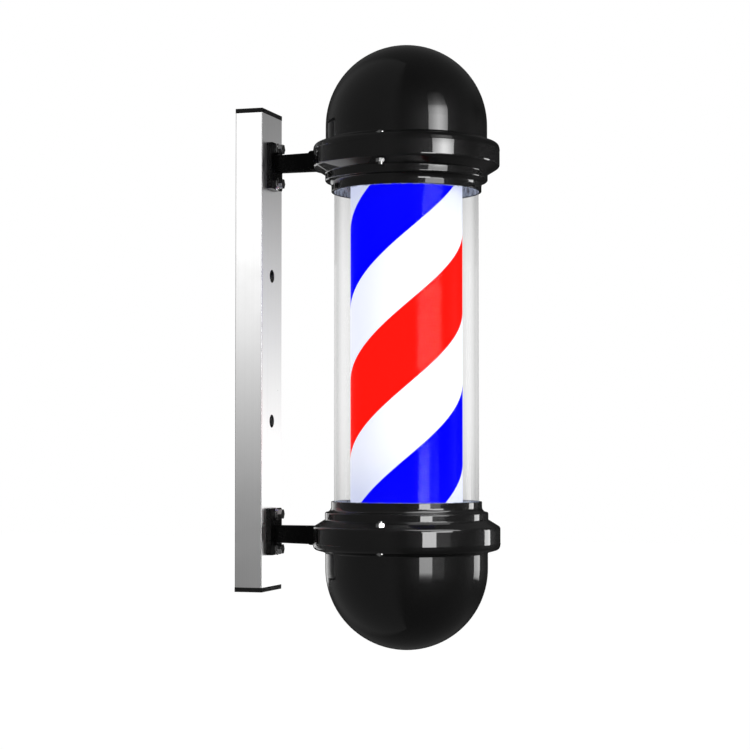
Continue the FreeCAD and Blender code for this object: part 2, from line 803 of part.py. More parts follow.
# ---------------------------------------------------------------- gear motor
def make_motor():
    """Synchronous gear motor in two cans, with its output boss facing down."""
    seat = "ring_low + plate_thick"
    top = f"{seat} + gearbox_height"
    housing = cylinder("motor_radius", "gearbox_height", y=at_pole(), z=seat)
    boss = cylinder("motor_boss", "motor_boss_height", y=at_pole(), z=f"{seat} - motor_boss_height")
    ear_y = at_pole()
    ear = block("2 * motor_ear + ear_width", "ear_width", "ear_thick", y=ear_y, z=f"{seat} + ear_thick / 2")
    tools = [cylinder("shaft_radius + running_gap", "gearbox_height + 1.4", y=at_pole(), z="ring_low - 1")]
    for across in (1, -1):
        x = f"{across} * motor_ear"
        tools.append(cylinder("small_screw / 2", 6, x=x, y=at_pole(), z=f"{seat} - 2"))
    node(cut(fuse(housing, boss, ear), *tools), "motor_gearbox")
    stator = cylinder("motor_radius - 0.6", "stator_height", y=at_pole(), z=top)
    pivot = cylinder("pivot_radius", "pivot_height", y=at_pole(), z=f"{top} + stator_height")
    node(fuse(stator, pivot), "motor_stator")
    screws = []
    for across in (1, -1):
        where = {"x": f"{across} * motor_ear", "y": at_pole(), "z": f"{seat} + ear_thick"}
        screws.append(screw(small_pan(), "small_screw / 2", 6, **where))
    node(group(*screws), "motor_screws")


# ---------------------------------------------------------------- drum
def make_motor_shaft():
    length = "ring_low + gearbox_height - shaft_low"
    node(cylinder("shaft_radius", length, y=at_pole(), z="shaft_low"), "motor_shaft")


def disc_top():
    """Height of the outer face of each drum disc."""
    return "drum_reach - disc_inset"


def make_drive_hub():
    """Hub on the motor shaft: its flange is screwed under the drum's top disc."""
    disc_low = f"({disc_top()}) - disc_thick"
    corners = [
        ("shaft_radius", f"{disc_low} - 3"),
        ("hub_flange", f"{disc_low} - 3"),
        ("hub_flange", disc_low),
        ("hub_radius", disc_low),
        ("hub_radius", "hub_top"),
        ("shaft_radius", "hub_top"),
    ]
    body = turn_solid(new_body(), corners)
    set_level = "hub_top - set_screw_drop"
    pocket(body, "YZ_Plane", 6, 8, circles=[(0, set_level, "light_screw / 2")])
    holes = [(u, v, "light_screw / 2") for u, v in around("hub_flange - 3", PLATE_SCREWS)]
    pocket(body, "XY_Plane", disc_low, 10, circles=holes)
    node(body, "drive_hub")
    where = {"x": "shaft_radius", "y": at_pole(), "z": set_level, "facing": (1, 0, 0)}
    node(cylinder("light_screw / 2", "hub_radius - shaft_radius - 0.4", **where), "hub_set_screw")
    screws = []
    for u, v in around("hub_flange - 3", PLATE_SCREWS):
        where = {"x": u, "y": at_pole(v), "z": disc_top()}
        screws.append(screw(light_pan(), "light_screw / 2", 5.5, **where))
    node(group(*screws), "hub_screws")


def drum_bore():
    return "film_radius - film_thick - drum_wall"


def pin_height(side):
    """Height of the pins that hold the drum tube to one disc's skirt."""
    return f"{side} * (({disc_top()}) - disc_skirt + pin_level)"


def make_drum_disc(name, side, bore):
    """Moulded end disc with a skirt that fits inside the drum tube."""
    top = disc_top()
    skirt = f"({top}) - disc_skirt"
    corners = [
        (bore, f"({top}) - disc_thick"),
        (f"({drum_bore()}) - disc_thick", f"({top}) - disc_thick"),
        (f"({drum_bore()}) - disc_thick", skirt),
        (drum_bore(), skirt),
        (drum_bore(), top),
        (bore, top),
    ]
    body = turn_solid(new_body(), sided(corners, side))
    if side == UPPER:
        holes = [(u, v, "light_screw / 2") for u, v in around("hub_flange - 3", PLATE_SCREWS)]
        pocket(body, "XY_Plane", top, 10, circles=holes)
    vents = [(u, v, "vent_radius") for u, v in around("vent_ring", VENTS, start=0)]
    pocket(body, "XY_Plane", f"{side} * ({top})", 10, circles=vents)
    pocket(body, "YZ_Plane", 0, "3 * film_radius", circles=[(0, pin_height(side), "pin_radius")])
    node(body, f"drum_{name}_disc")


def make_drum():
    """Translucent tube with the printed striped film wrapped round it."""
    outer = "film_radius - film_thick"
    outline = ring_shape(drum_bore(), outer, "-drum_reach", "drum_reach")
    body = turn_solid(new_body(), outline)
    for side in (UPPER, LOWER):
        circles = [(0, pin_height(side), "pin_radius")]
        pocket(body, "YZ_Plane", 0, "3 * film_radius", circles=circles)
    node(body, "drum_tube")
    film_reach = "(drum_reach - 1)"
    film = ring_shape(outer, "film_radius", f"-{film_reach}", film_reach)
    node(turn_solid(new_body(), film), "stripe_film")
    pins = []
    for side in (UPPER, LOWER):
        for across in (1, -1):
            where = {"y": at_pole(), "z": pin_height(side), "facing": (-across, 0, 0)}
            pins.append(cylinder("pin_radius", "pin_length", x=f"{across} * ({outer})", **where))
    node(group(*pins), "drum_rim_pins")


def make_drum_bush():
    """Plain bearing in the bottom disc: it turns on the lamp foot's journal."""
    disc_low = f"-({disc_top()})"
    corners = [
        ("journal + running_gap", "-bush_low"),
        ("bush_flange", "-bush_low"),
        ("bush_flange", disc_low),
        ("journal + bush_wall", disc_low),
        ("journal + bush_wall", "-journal_top - 2"),
        ("journal + running_gap", "-journal_top - 2"),
    ]
    node(turn_solid(new_body(), corners), "drum_bush")


# ---------------------------------------------------------------- lamp
def make_lamp_foot():
    """Plastic foot: a flange on the lamp plate, the drum's journal, and a square post socket."""
    foot_top = "-ring_low + lamp_foot_thick"
    corners = [
        ("foot_bore", "-ring_low"),
        ("lamp_foot", "-ring_low"),
        ("lamp_foot", foot_top),
        ("journal", foot_top),
        ("journal", "-journal_top"),
        ("foot_bore", "-journal_top"),
    ]
    body = turn_solid(new_body(), corners)
    socket = rectangle("post_side", "post_side")
    depth = "ring_low - journal_top - socket_floor"
    pocket(body, "XY_Plane", "-journal_top", f"2 * ({depth})", outlines=[socket])
    holes = [(u, v, "small_screw / 2") for u, v in around("lamp_foot - 5", PLATE_SCREWS)]
    pocket(body, "XY_Plane", "-ring_low", 10, circles=holes)
    node(body, "lamp_foot")
    outline = ring_shape("journal + 0.4", "bush_flange", foot_top, f"{foot_top} + thrust_thick")
    node(turn_solid(new_body(), outline), "thrust_washer")
    screws = []
    for u, v in around("lamp_foot - 5", PLATE_SCREWS):
        head = cone("small_screw / 2", "small_screw * 0.9", "sink_depth", z="-sink_depth")
        where = {"x": u, "y": at_pole(v), "z": "-ring_low - plate_thick", "facing": (0, 0, -1)}
        screws.append(screw(head, "small_screw / 2", 5, **where))
    node(group(*screws), "lamp_foot_screws")


def make_lamp_post():
    """Square aluminium post that holds and cools the light strips."""
    low = "-ring_low + socket_floor"
    level = f"(({low}) + post_up) / 2"
    hollow = rectangle("post_side - 2 * post_wall", "post_side - 2 * post_wall")
    outlines = [rectangle("post_side", "post_side"), hollow]
    body = pad_solid(new_body(), "XY_Plane", level, f"post_up - ({low})", outlines=outlines)
    exit_hole = (0, "-strip_down - strip_cable / 2", "strip_cable / 2 + 0.1")
    pocket(body, "YZ_Plane", "post_side / 2", "post_wall * 3", circles=[exit_hole])
    node(body, "lamp_post")
    side = "post_side + 2"
    cap = block(side, side, "post_cap_thick", y=at_pole(), z="post_up + post_cap_thick / 2")
    inner = "post_side - 2 * post_wall - plug_gap"
    plug = block(inner, inner, "3 * post_cap_thick", y=at_pole(), z="post_up - 1.5 * post_cap_thick")
    node(fuse(cap, plug), "lamp_post_cap")


def make_light_strips():
    """Four light strips, one on each face of the post, and the chips on them."""
    strips = []
    chips = []
    length = "strip_up + strip_down"
    middle = "(strip_up - strip_down) / 2"
    for face in range(STRIP_FACES):
        angle = math.radians(90 * face)
        across = round(math.cos(angle))
        deep = round(math.sin(angle))
        out = "post_side / 2 + strip_thick / 2"
        wide = "strip_width" if deep else "strip_thick"
        thick = "strip_thick" if deep else "strip_width"
        x = f"{across} * ({out})"
        y = at_pole(f"{deep} * ({out})")
        strips.append(block(wide, thick, length, x=x, y=y, z=middle))
        chip_out = "post_side / 2 + strip_thick + chip_thick / 2"
        wide = "chip_side" if deep else "chip_thick"
        thick = "chip_thick" if deep else "chip_side"
        x = f"{across} * ({chip_out})"
        y = at_pole(f"{deep} * ({chip_out})")
        for index in range(CHIPS_ALONG):
            z = f"({index} - {(CHIPS_ALONG - 1) / 2}) * chip_pitch"
            chips.append(block(wide, thick, "chip_side", x=x, y=y, z=z))
    node(group(*strips), "light_strips")
    node(group(*chips), "light_chips")


def driver_ear_centre():
    """How far the driver's two screws stand from the pole axis."""
    return "driver_length / 2 + driver_ear / 2"


def make_driver():
    """Boxed lamp driver with two ears, hung under the lamp plate."""
    top = "-ring_low - plate_thick"
    middle = f"{top} - driver_height / 2"
    case = block("driver_length", "driver_width", "driver_height", y=at_pole(), z=middle)
    ear_length = "driver_length + 2 * driver_ear"
    ear_level = f"{top} - driver_ear_thick / 2"
    ears = block(ear_length, "driver_ear_width", "driver_ear_thick", y=at_pole(), z=ear_level)
    holes = []
    screws = []
    for across in (1, -1):
        x = f"{across} * ({driver_ear_centre()})"
        holes.append(cylinder("small_screw / 2", 6, x=x, y=at_pole(), z=f"{top} - 4"))
        where = {"x": x, "y": at_pole(), "z": f"{top} - driver_ear_thick", "facing": (0, 0, -1)}
        screws.append(screw(small_pan(), "small_screw / 2", 5, **where))
    node(cut(fuse(case, ears), *holes), "lamp_driver")
    node(group(*screws), "driver_screws")


# ---------------------------------------------------------------- wiring
def make_terminal_block():
    """Terminal block inside the rail, where the supply meets the two inner leads."""
    y = "-rail_wall - terminal_depth / 2"
    front = "-rail_wall - terminal_depth"
    base = block("terminal_width", "terminal_depth", "terminal_height", y=y, z="terminal_level")
    inward = (0, 1, 0)
    slots = [cylinder("light_screw / 2", 30, y=f"{front} - 5", z="terminal_level", facing=inward)]
    length = "terminal_depth + rail_wall * 0.6"
    where = {"y": front, "z": "terminal_level", "facing": (0, -1, 0)}
    screws = [screw(light_pan(), "light_screw / 2", length, **where)]
    for across in (-1, 0, 1):
        for up in (-1, 1):
            x = f"{across} * terminal_width * 0.3"
            z = f"terminal_level + {up} * terminal_height * 0.3"
            slots.append(cylinder("terminal_hole", 5, x=x, y=front, z=z, facing=inward))
            screws.append(cylinder("terminal_screw", 3, x=x, y=f"{front} + 2", z=z, facing=inward))
    node(cut(base, *slots), "terminal_block")
    node(group(*screws), "terminal_screws")


def cable_route(points, radii):
    """A wire of straight runs through the points, with a tangent arc at each inner one."""
    vectors = [FreeCAD.Vector(*(number(value) for value in point)) for point in points]
    edges = []
    start = vectors[0]
    length = 0
    for before, corner, after, radius in zip(vectors, vectors[1:], vectors[2:], radii):
        back = (before - corner).normalize()
        ahead = (after - corner).normalize()
        half = back.getAngle(ahead) / 2
        reach = radius / math.tan(half)
        inward = (back + ahead).normalize()
        middle = corner + inward * (radius / math.sin(half) - radius)
        first = corner + back * reach
        last = corner + ahead * reach
        edges.append(Part.LineSegment(start, first).toShape())
        edges.append(Part.Arc(first, middle, last).toShape())
        length += (first - start).Length + radius * (math.pi - 2 * half)
        start = last
    edges.append(Part.LineSegment(start, vectors[-1]).toShape())
    length += (vectors[-1] - start).Length
    return Part.Wire(edges), length


def make_cable(label, points, radii, width):
    """A round lead along its route. Its volume has to be its section times its length."""
    route, length = cable_route(points, radii)
    radius = number(width) / 2
    section = Part.Wire(Part.Circle(route.Vertexes[0].Point, route.Edges[0].tangentAt(0), radius).toShape())
    shape = route.makePipeShell([section], True, False)
    expected = math.pi * radius * radius * length
    if abs(shape.Volume - expected) > 0.01 * expected:
        raise RuntimeError(f"{label} holds {shape.Volume:.0f} and not {expected:.0f}")
    item = doc.addObject("Part::Feature", label)
    item.Shape = shape
    item.Placement = FreeCAD.Placement()
    node(item, label)


def make_cables():
    """Leads from the terminal block to the motor and the lamp driver, and on to the strips."""
    depth = "-rail_depth / 2"
    terminal_low = "terminal_level - terminal_height / 2"
    beside = ("terminal_width / 2 - 3", "-rail_wall - terminal_depth / 2")
    motor_points = [
        (*beside, "terminal_level + terminal_height / 2"),
        (*beside, "arm_level - 46"),
        (0, depth, "arm_level"),
        (0, at_pole("motor_radius"), "arm_level"),
    ]
    make_cable("motor_lead", motor_points, [90, 8.5], "cable")
    lamp_points = [
        (0, depth, terminal_low),
        (0, depth, "-arm_level"),
        (0, at_pole("driver_width / 2"), "-arm_level"),
    ]
    make_cable("lamp_lead", lamp_points, [8.5], "cable")
    turn_level = "-strip_down - strip_cable / 2"
    strip_points = [
        (0, at_pole(), "-ring_low - plate_thick"),
        (0, at_pole(), turn_level),
        ("post_side / 2 + strip_thick", at_pole(), turn_level),
    ]
    make_cable("strip_lead", strip_points, [4.5], "strip_cable")


# ---------------------------------------------------------------- whole object
make_rail()
make_inlet_grommet()
make_rivet_nuts()
make_foot_fasteners()
make_saddle_screws()
for side_name, side_sign in SIDES:
    make_rail_cap(side_sign)
    make_arm(side_name, side_sign)
    make_collar(side_name, side_sign)
    make_ring(side_name, side_sign)
    make_dome(side_name, side_sign)
    make_gasket(side_name, side_sign)
make_clamp_fasteners()
make_tube()
make_motor_plate()
make_lamp_plate()
make_plate_screws()
make_motor()
make_motor_shaft()
make_drive_hub()
make_drum_disc("top", UPPER, "hub_radius")
make_drum_disc("bottom", LOWER, "journal + bush_wall")
make_drum()
make_drum_bush()
make_lamp_foot()
make_lamp_post()
make_light_strips()
make_driver()
make_terminal_block()
make_cables()

doc.recompute()
failed = [item.Label for item in doc.Objects if {"Invalid", "Error"} & set(item.State)]
if failed:
    raise RuntimeError(f"failed objects: {failed}")
for item in nodes:
    if item.Shape.isNull() or not item.Shape.isValid() or not item.Shape.Solids:
        raise RuntimeError(f"{item.Label} has no valid solid")

os.makedirs("parts", exist_ok=True)
for item in nodes:
    item.Shape.exportStep(os.path.join("parts", f"{item.Label}.step"))
print(f"{len(nodes)} nodes written")
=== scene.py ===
import json
import math

import bmesh
import bpy
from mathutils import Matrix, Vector


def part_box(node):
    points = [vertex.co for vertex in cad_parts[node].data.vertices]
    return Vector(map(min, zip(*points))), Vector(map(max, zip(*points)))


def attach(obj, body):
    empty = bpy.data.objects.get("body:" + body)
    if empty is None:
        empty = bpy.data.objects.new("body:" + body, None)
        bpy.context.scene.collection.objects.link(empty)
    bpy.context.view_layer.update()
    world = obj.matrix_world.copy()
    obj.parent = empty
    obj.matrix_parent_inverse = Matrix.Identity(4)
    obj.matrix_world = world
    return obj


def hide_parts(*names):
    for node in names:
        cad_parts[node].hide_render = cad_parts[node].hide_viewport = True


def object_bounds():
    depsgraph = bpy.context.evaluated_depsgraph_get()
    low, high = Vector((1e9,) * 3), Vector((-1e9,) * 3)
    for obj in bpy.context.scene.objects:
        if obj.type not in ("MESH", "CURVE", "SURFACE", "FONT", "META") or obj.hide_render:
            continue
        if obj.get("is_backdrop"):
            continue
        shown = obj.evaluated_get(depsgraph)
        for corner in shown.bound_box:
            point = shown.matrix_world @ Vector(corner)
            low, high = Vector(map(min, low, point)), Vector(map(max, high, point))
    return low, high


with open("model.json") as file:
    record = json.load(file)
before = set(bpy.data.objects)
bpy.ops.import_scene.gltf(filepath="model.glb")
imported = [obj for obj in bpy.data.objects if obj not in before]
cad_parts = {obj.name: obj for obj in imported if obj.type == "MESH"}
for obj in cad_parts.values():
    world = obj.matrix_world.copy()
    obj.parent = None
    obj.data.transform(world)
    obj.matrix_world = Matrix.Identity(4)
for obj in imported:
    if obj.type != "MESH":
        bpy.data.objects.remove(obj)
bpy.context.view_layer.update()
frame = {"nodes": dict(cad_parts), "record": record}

# Barber pole light. Metres, +Z up, wall at Y = 0, pole in front of it at -Y.
# The object's own sizes and places are read from the frame. The stripes, the lights and the camera
# have their values below. Azimuths run counter-clockwise from +X, seen from above.

MM = 0.001


# ---------------------------------------------------------------- places read from the frame
def middle(node):
    low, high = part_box(node)
    return (low + high) / 2


def radius_of(node):
    low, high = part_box(node)
    return (high.x - low.x) / 2


POLE = middle("stripe_film")
RAIL = middle("wall_rail")
FILM_RADIUS = radius_of("stripe_film")
FILM_INNER = radius_of("drum_tube")
FILM_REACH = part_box("stripe_film")[1].z
TUBE_RADIUS = radius_of("clear_tube")
COLLAR_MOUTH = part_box("upper_collar")[0].z


# ---------------------------------------------------------------- nodes that are treated alike
# The polished screws on the arms' feet. They get a brighter copy of the chrome, which paints highlights on
# them.
FOOT_SCREWS = ("arm_screws", "arm_spring_washers", "arm_washers")

# The lower mouldings of both caps.
MOULDINGS = ("upper_ring", "lower_ring", "upper_collar", "lower_collar")

# The photo shows none of the film's glow, or next to none, in these.
UNLIT_BY_FILM = (
    "upper_dome",
    "lower_dome",
    *MOULDINGS,
    "clear_tube",
    *FOOT_SCREWS,
    "clamp_bolts",
    "clamp_nuts",
)


# ---------------------------------------------------------------- stripes
# A right-handed helix. At the pole's middle height the red stripe's middle is at STRIPE_FACING. Red
# and blue each reach STRIPE_HALF_SHARE of the lead to either side of their middles.
STRIPE_LEAD = 0.260
STRIPE_FACING = math.radians(196.93)
STRIPE_HALF_SHARE = 0.133
RED, WHITE, BLUE = range(3)

FILM_COLUMNS = 120
FILM_ROWS = 132

# The painted glow of the film and the drum, which stands in for the light inside, falls off from here to
# the drum's ends.
PAINTED_GLOW_FALL_START = 0.085


# ---------------------------------------------------------------- clear tube and rail
# How much the tube's outer skin veils what is behind it, from facing (0) to a slant (1).
TUBE_VEIL = (
    (0.0, 0.060),
    (0.36, 0.062),
    (0.39, 0.070),
    (0.45, 0.045),
    (0.51, 0.035),
    (0.565, 0.05),
    (0.62, 0.10),
    (0.70, 0.18),
    (1.0, 0.21),
)
TUBE_INNER_VEIL = 0.018

# The tube's veil grows thicker from this height to the collars, where it is thickest, so the tube is darker
# there.
TUBE_END_DARKENING_START = 0.040
TUBE_END_DARKENING = 0.115

# How far the painted shade along the rail's four long corners reaches in from each corner.
RAIL_CORNER_SHADE = 0.9 * MM


# ---------------------------------------------------------------- softboxes
# Sheets bent round the pole. Rows of (height, first and last azimuth in degrees, glow).
SOFTBOX_AWAY = 2.0
KEY_MIDDLE = [
    (0.00, 214, 253, 12),
    (0.25, 214, 253, 12),
    (0.325, 219, 254, 12),
    (0.34, 220, 254, 6),
    (0.42, 227, 255, 5.5),
]
KEY_HIGH = [
    (0.42, 227.8, 255.2, 15.5),
    (0.455, 227.8, 255.2, 15.5),
    (0.465, 227.4, 256, 9),
    (0.80, 227.4, 257, 6.5),
    (0.94, 227.4, 257, 4.2),
    (1.00, 228.4, 256, 2.2),
    (1.25, 228.4, 256, 1.0),
    (1.50, 229, 255, 0.5),
    (1.90, 230, 254, 0),
]
KEY_LOW = [
    (-0.85, 214, 232, 0),
    (-0.60, 214, 232, 0.5),
    (-0.50, 214, 232, 1.5),
    (-0.42, 214, 232, 5.0),
    (-0.275, 214, 232, 6.5),
    (-0.268, 215.3, 232, 12),
    (-0.20, 215.3, 232, 12),
    (0.00, 214, 232, 12),
]
KEY_LOW_EDGE = [
    (-0.75, 232, 250, 0),
    (-0.42, 232, 250, 0.5),
    (-0.22, 232, 250, 0.5),
    (-0.20, 232, 248, 2.0),
    (0.00, 232, 248, 2.0),
]
EDGE = [
    (-0.56, 305, 322, 0),
    (-0.47, 305, 320, 3.2),
    (-0.275, 305, 321, 4.2),
    (-0.268, 305, 318, 6.5),
    (0.25, 305, 318, 6.5),
]
RIM = [
    (-0.50, 36, 50, 0),
    (-0.44, 36, 50, 1.3),
    (0.25, 36, 50, 1.3),
]

# What a softbox's glow is multiplied by, in even steps from its first azimuth to its last.
EVEN = (1, 1, 1, 1, 1, 1, 1)
ROUNDED = (0.45, 0.65, 0.90, 1.15, 1.05, 0.78, 0.50)


# ---------------------------------------------------------------- area lights
# The rail's two lights. Rows of (height, radiance), from the bottom up.
RAIL_LIGHT_AWAY = 0.5
RAIL_FRONT_AZIMUTH = math.radians(-25)
RAIL_FRONT_WIDTH = 0.75
RAIL_FRONT = [
    (-0.60, 1.4),
    (-0.09, 1.25),
    (-0.04, 1.02),
    (0.02, 0.86),
    (0.078, 0.70),
    (0.134, 0.53),
    (0.19, 0.38),
    (0.28, 0.22),
    (0.60, 0.13),
]
RAIL_SIDE_AZIMUTH = math.radians(162.5)
RAIL_SIDE_WIDTH = 0.45
RAIL_SIDE = [
    (-0.60, 0.02),
    (-0.235, 0.03),
    (-0.15, 0.08),
    (-0.093, 0.24),
    (-0.036, 0.42),
    (0.02, 0.64),
    (0.078, 0.98),
    (0.13, 1.20),
    (0.60, 1.2),
]

# The light over the caps' mouldings: its place from the pole's middle, and its size.
OVERHEAD_AZIMUTH = math.radians(252)
OVERHEAD_AWAY = 1.5
OVERHEAD_UP = 2.4
OVERHEAD_WIDTH = 2.2
OVERHEAD_HEIGHT = 2.4
OVERHEAD_RADIANCE = 4.5


# ---------------------------------------------------------------- studio
# The greys that the gloss and the metal mirror. A fade is from where it starts to where it is full,
# as the cosine of the angle from its azimuth, or as the slant up or down of the direction.
ROOM_GREY = 0.09
WALL_SIDE_GREY = 0.19
WALL_SIDE_AZIMUTH = math.radians(119)
WALL_SIDE_FADE = (0.25, 0.60)
BEYOND_GREY = 0.02
BEYOND_AZIMUTH = math.radians(-5)
BEYOND_FADE = (0.5, 0.8)
BEYOND_SLANT_FADE = (0.55, 0.20)

FLOOR_HALF_WIDTH = 12
FLOOR_BELOW_POLE = 0.5


# ---------------------------------------------------------------- camera
# Its place and turn come from a fit of outlines.
CAMERA_AT = Vector((-1.65309, -0.64060, -0.08504))
CAMERA_TURN = math.radians(-72.534)
CAMERA_PITCH = math.radians(2.007)
SENSOR = 36
LENS = 95.848
NEAREST = 0.05
FURTHEST = 50


# ---------------------------------------------------------------- node helpers
def new_material(name):
    mat = bpy.data.materials.new(name)
    mat.use_nodes = True
    tree = mat.node_tree
    return mat, tree, tree.nodes["Principled BSDF"]


def add(tree, kind, **settings):
    item = tree.nodes.new(kind)
    for name, value in settings.items():
        setattr(item, name, value)
    return item


def link(tree, source, target):
    tree.links.new(source, target)


def set_inputs(item, **values):
    for name, value in values.items():
        item.inputs[name.replace("_", " ")].default_value = value


def object_coords(tree, scale=(1, 1, 1), shift=(0, 0, 0)):
    """Object coordinates, stretched, then shifted. Every piece's object sits at the origin, so they
    are metres."""
    coords = add(tree, "ShaderNodeTexCoord")
    mapping = add(tree, "ShaderNodeMapping")
    set_inputs(mapping, Scale=scale, Location=shift)
    link(tree, coords.outputs["Object"], mapping.inputs["Vector"])
    return mapping.outputs["Vector"]


def noise(tree, vector, scale, detail=4.0):
    """Noise with about scale patches to a metre."""
    item = add(tree, "ShaderNodeTexNoise")
    set_inputs(item, Scale=scale, Detail=detail, Roughness=0.55)
    link(tree, vector, item.inputs["Vector"])
    return item.outputs["Fac"]


def ramp(tree, factor, *stops):
    """A colour ramp. Each stop is (position, colour)."""
    item = add(tree, "ShaderNodeValToRGB")
    elements = item.color_ramp.elements
    while len(elements) < len(stops):
        elements.new(0.5)
    for element, (position, colour) in zip(elements, stops):
        element.position = position
        element.color = (*colour, 1)
    link(tree, factor, item.inputs["Fac"])
    return item.outputs["Color"]


def spread(tree, factor, low, high, start=0.3, end=0.7, blend="LINEAR"):
    """Maps the range from start to end, by default a noise's middle range, to that from low to
    high."""
    item = add(tree, "ShaderNodeMapRange", interpolation_type=blend)
    set_inputs(item, From_Min=start, From_Max=end, To_Min=low, To_Max=high)
    link(tree, factor, item.inputs["Value"])
    return item.outputs["Result"]


def split(tree, vector):
    """A vector's X, Y and Z."""
    item = add(tree, "ShaderNodeSeparateXYZ")
    link(tree, vector, item.inputs["Vector"])
    return item.outputs


def absolute(tree, value):
    item = add(tree, "ShaderNodeMath", operation="ABSOLUTE")
    link(tree, value, item.inputs[0])
    return item.outputs["Value"]


def combine(tree, operation, first, second):
    """A sum or product, or other such result, of two sockets or of a socket and a number."""
    item = add(tree, "ShaderNodeMath", operation=operation)
    for socket, value in zip(item.inputs, (first, second)):
        if isinstance(value, (int, float)):
            socket.default_value = value
        else:
            link(tree, value, socket)
    return item.outputs["Value"]


def mixed(tree, factor, first, second):
    """A blend of two colours, each a socket or a plain colour."""
    item = add(tree, "ShaderNodeMix", data_type="RGBA")
    link(tree, factor, item.inputs["Factor"])
    # The node's sockets for numbers have the same names, so those for colours go by their places.
    for socket, value in ((item.inputs[6], first), (item.inputs[7], second)):
        if isinstance(value, tuple):
            socket.default_value = (*value, 1)
        else:
            link(tree, value, socket)
    return item.outputs[2]


def bump(tree, shader, height, distance, strength=1.0):
    item = add(tree, "ShaderNodeBump")
    set_inputs(item, Strength=strength, Distance=distance)
    link(tree, height, item.inputs["Height"])
    link(tree, item.outputs["Normal"], shader.inputs["Normal"])


def grey(value):
    return (value, value, value)


def height_share(tree, start, end, blend="SMOOTHSTEP"):
    """0 where a point is nearer to the pole's middle than start, 1 where it is further than end."""
    coords = add(tree, "ShaderNodeTexCoord")
    away = absolute(tree, split(tree, coords.outputs["Object"])["Z"])
    return spread(tree, away, 0.0, 1.0, start, end, blend)


# ---------------------------------------------------------------- paint and plastic
def gloss_black():
    """Thick gloss paint: a clear coat over black, with faint orange peel and dust."""
    mat, tree, shader = new_material("gloss_black")
    vector = object_coords(tree)
    dust_and_end_darkening = noise(tree, vector, scale=60, detail=8)
    orange_peel = noise(tree, vector, scale=420, detail=2)
    link(tree, ramp(tree, dust_and_end_darkening, (0.3, grey(0.001)), (0.8, grey(0.0022))), shader.inputs["Base Color"])
    link(tree, spread(tree, noise(tree, vector, scale=25), 0.4, 0.5), shader.inputs["Roughness"])
    set_inputs(shader, Specular_IOR_Level=0.1, Coat_Weight=1.0, Coat_Roughness=0.03, Coat_IOR=1.5)
    bump(tree, shader, orange_peel, 0.03 * MM)
    return mat


def arm_black():
    """Satin black paint on a sand casting."""
    mat, tree, shader = new_material("arm_black")
    vector = object_coords(tree)
    wear = noise(tree, vector, scale=90, detail=8)
    sand = noise(tree, vector, scale=1100, detail=3)
    link(tree, ramp(tree, wear, (0.3, grey(0.0015)), (0.8, grey(0.004))), shader.inputs["Base Color"])
    link(tree, spread(tree, noise(tree, vector, scale=200), 0.24, 0.36), shader.inputs["Roughness"])
    set_inputs(shader, Specular_IOR_Level=0.12)
    bump(tree, shader, sand, 0.10 * MM, strength=0.5)
    return mat


def moulded(name, dark, light, roughness):
    """Injection-moulded plastic or rubber with a fine texture."""
    mat, tree, shader = new_material(name)
    vector = object_coords(tree)
    tone = noise(tree, vector, scale=70, detail=6)
    worn_and_corner_shade = noise(tree, vector, scale=140)
    grain = noise(tree, vector, scale=1800, detail=2)
    link(tree, ramp(tree, tone, (0.3, dark), (0.75, light)), shader.inputs["Base Color"])
    link(tree, spread(tree, worn_and_corner_shade, roughness - 0.05, roughness + 0.07), shader.inputs["Roughness"])
    bump(tree, shader, grain, 0.04 * MM)
    return mat


# ---------------------------------------------------------------- metal
def metal_lines(tree, shader, roughness, stretch, groove):
    """Makes a shader metal, with fine lines along its length from drawing, rolling or brushing and a
    smeared gloss. Returns the lines."""
    lines = noise(tree, object_coords(tree, stretch), scale=900)
    smear = noise(tree, object_coords(tree), scale=30, detail=6)
    link(tree, spread(tree, smear, roughness - 0.03, roughness + 0.05), shader.inputs["Roughness"])
    set_inputs(shader, Metallic=1.0)
    bump(tree, shader, lines, groove, strength=0.5)
    return lines


def drawn_metal(name, dark, light, roughness, stretch=(1, 1, 1)):
    mat, tree, shader = new_material(name)
    lines = metal_lines(tree, shader, roughness, stretch, 0.01 * MM)
    link(tree, ramp(tree, lines, (0.3, dark), (0.7, light)), shader.inputs["Base Color"])
    return mat


def rail_metal():
    """Drawn aluminium tube, with a painted line of shade darkening it along its four long corners."""
    mat, tree, shader = new_material("rail_aluminium")
    lines = metal_lines(tree, shader, 0.30, (1, 1, 0.004), 0.003 * MM)
    from_middle = add(tree, "ShaderNodeVectorMath", operation="ABSOLUTE")
    link(tree, object_coords(tree, shift=tuple(-RAIL)), from_middle.inputs[0])
    parts = split(tree, from_middle.outputs["Vector"])
    low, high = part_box("wall_rail")
    reach = (high - low) / 2
    # Painted shade: the base colour darkens to a grey line along each of the rail's four long corners.
    beside = spread(tree, parts["X"], 0.0, 1.0, reach.x - RAIL_CORNER_SHADE, reach.x - RAIL_CORNER_SHADE / 2)
    before = spread(tree, parts["Y"], 0.0, 1.0, reach.y - RAIL_CORNER_SHADE, reach.y - RAIL_CORNER_SHADE / 2)
    worn_and_corner_shade = combine(tree, "MULTIPLY", beside, before)
    # Up to lines_top the tone is the lines', and past it the painted corner shade's.
    lines_top = 0.2
    tone = combine(tree, "ADD", spread(tree, lines, 0.0, lines_top), worn_and_corner_shade)
    stops = ((0.0, grey(0.85)), (lines_top, grey(0.89)), (1.0, grey(0.30)))
    link(tree, ramp(tree, tone, *stops), shader.inputs["Base Color"])
    return mat


# ---------------------------------------------------------------- clear tube
def outer_skin(tree):
    """1 on the clear tube's outer surface, 0 on its inner one."""
    from_axis = object_coords(tree, (1, 1, 0), (-POLE.x, -POLE.y, 0))
    length = add(tree, "ShaderNodeVectorMath", operation="LENGTH")
    link(tree, from_axis, length.inputs[0])
    return combine(tree, "GREATER_THAN", length.outputs["Value"], TUBE_RADIUS - MM)


